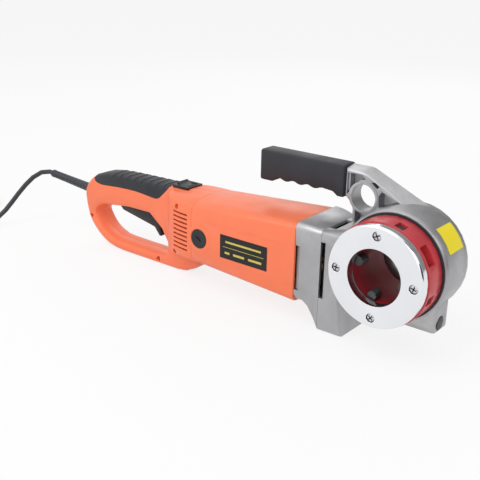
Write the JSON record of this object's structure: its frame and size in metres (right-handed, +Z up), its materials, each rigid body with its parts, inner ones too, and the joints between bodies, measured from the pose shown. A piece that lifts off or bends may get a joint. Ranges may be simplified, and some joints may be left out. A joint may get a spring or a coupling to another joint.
{
  "type": "electric pipe threader",
  "caption": "Hand-held electric pipe threader: an orange motor body with a D-shaped rear handle drives a geared ring that holds a red die head with a bright cover plate.",
  "frame": {"origin": "on the ground plane under the middle of the tool's box, measured without the cord", "axes": "+X along the tool from the rear handle to the gear head, +Y along the die axis away from the operator's side, +Z up"},
  "size_m": [0.9834, 0.164, 0.1931],
  "materials": {
    "orange_shell": "satin moulded",
    "cast_aluminium": "cast, lightly blasted",
    "black_plastic": "matt moulded",
    "black_rubber": "matt",
    "red_paint": "gloss",
    "bright_plate": "polished",
    "screw_steel": "plated",
    "dark_steel": "blackened",
    "gear_steel": "ground",
    "bearing_bronze": "plain",
    "winding_copper": "varnished",
    "brush_carbon": "matt"
  },
  "bodies": {
    "root": {"motor_housing": "orange_shell", "rear_shell_near": "orange_shell", "rear_shell_far": "orange_shell", "gear_head": "cast_aluminium", "gear_case": "cast_aluminium", "rear_cover": "cast_aluminium", "trigger_switch": "black_plastic", "rocker_bezel": "black_plastic", "brush_cap_near": "black_plastic", "brush_cap_far": "black_plastic", "seam_liner": "black_plastic", "vent_baffle": "black_plastic", "motor_end_bracket": "black_plastic", "cord_tie": "black_plastic", "grip_pad": "black_rubber", "handle_sleeve": "black_rubber", "strain_relief": "black_rubber", "cord": "black_rubber", "cord_coil": "black_rubber", "cord_tail": "black_rubber", "plug": "black_rubber", "rear_cover_screw_1": "screw_steel", "rear_cover_screw_2": "screw_steel", "rear_cover_screw_3": "screw_steel", "rear_cover_screw_4": "screw_steel", "shell_screw_1": "dark_steel", "shell_screw_2": "dark_steel", "shell_screw_3": "dark_steel", "shell_screw_4": "dark_steel", "trigger_pin": "gear_steel", "front_bush": "bearing_bronze", "rear_bush": "bearing_bronze", "layshaft_bearing_near": "bearing_bronze", "layshaft_bearing_far": "bearing_bronze", "motor_bearing_front": "bearing_bronze", "motor_bearing_rear": "bearing_bronze", "stator": "winding_copper", "brush_near": "brush_carbon", "brush_far": "brush_carbon"},
    "drive_ring": {"drive_ring": "gear_steel"},
    "die_head": {"die_head_drum": "red_paint", "cover_plate": "bright_plate", "cover_plate_screw_1": "screw_steel", "cover_plate_screw_2": "screw_steel", "cover_plate_screw_3": "screw_steel", "cover_plate_screw_4": "screw_steel", "die_1": "dark_steel", "die_2": "dark_steel", "die_3": "dark_steel", "die_4": "dark_steel"},
    "layshaft": {"layshaft": "gear_steel", "bevel_gear": "gear_steel", "spur_pinion": "gear_steel"},
    "armature": {"motor_shaft": "gear_steel", "armature_core": "winding_copper", "commutator": "bearing_bronze", "fan": "black_plastic"},
    "trigger": {"trigger": "black_plastic"},
    "rocker": {"rocker": "black_plastic"},
    "lock_button": {"lock_button": "black_plastic"}
  },
  "joints": [
    {"name": "ring_spin", "type": "hinge", "parent": "root", "child": "drive_ring", "pos_m": [0.22965, 0.0081, 0.096], "axis": [0, 1, 0], "continuous": true},
    {"name": "die_head_slide", "type": "slide", "parent": "drive_ring", "child": "die_head", "axis": [0, -1, 0], "range_m": [0, 0.036]},
    {"name": "layshaft_spin", "type": "hinge", "parent": "root", "child": "layshaft", "pos_m": [0.15979, 0.0081, 0.0716], "axis": [0, 1, 0], "continuous": true},
    {"name": "armature_spin", "type": "hinge", "parent": "root", "child": "armature", "pos_m": [0.02965, 0.0081, 0.0716], "axis": [1, 0, 0], "continuous": true},
    {"name": "trigger_pull", "type": "hinge", "parent": "root", "child": "trigger", "pos_m": [-0.23035, 0.0081, 0.079], "axis": [0, -1, 0], "range_deg": [0, 5.5], "stiffness_Nm_per_rad": 5, "springref_deg": -8.59},
    {"name": "rocker_tilt", "type": "hinge", "parent": "root", "child": "rocker", "pos_m": [-0.10085, 0.0081, 0.1205], "axis": [0, 1, 0], "range_deg": [-16, 0]},
    {"name": "lock_press", "type": "slide", "parent": "root", "child": "lock_button", "axis": [-1, 0, 0], "range_m": [0, 0.005], "stiffness_N_per_m": 1500, "springref_m": -0.004}
  ],
  "couplings": [
    {"joint": "layshaft_spin", "follows": "ring_spin", "ratio": -2.7},
    {"joint": "armature_spin", "follows": "ring_spin", "ratio": 9.1125}
  ]
}
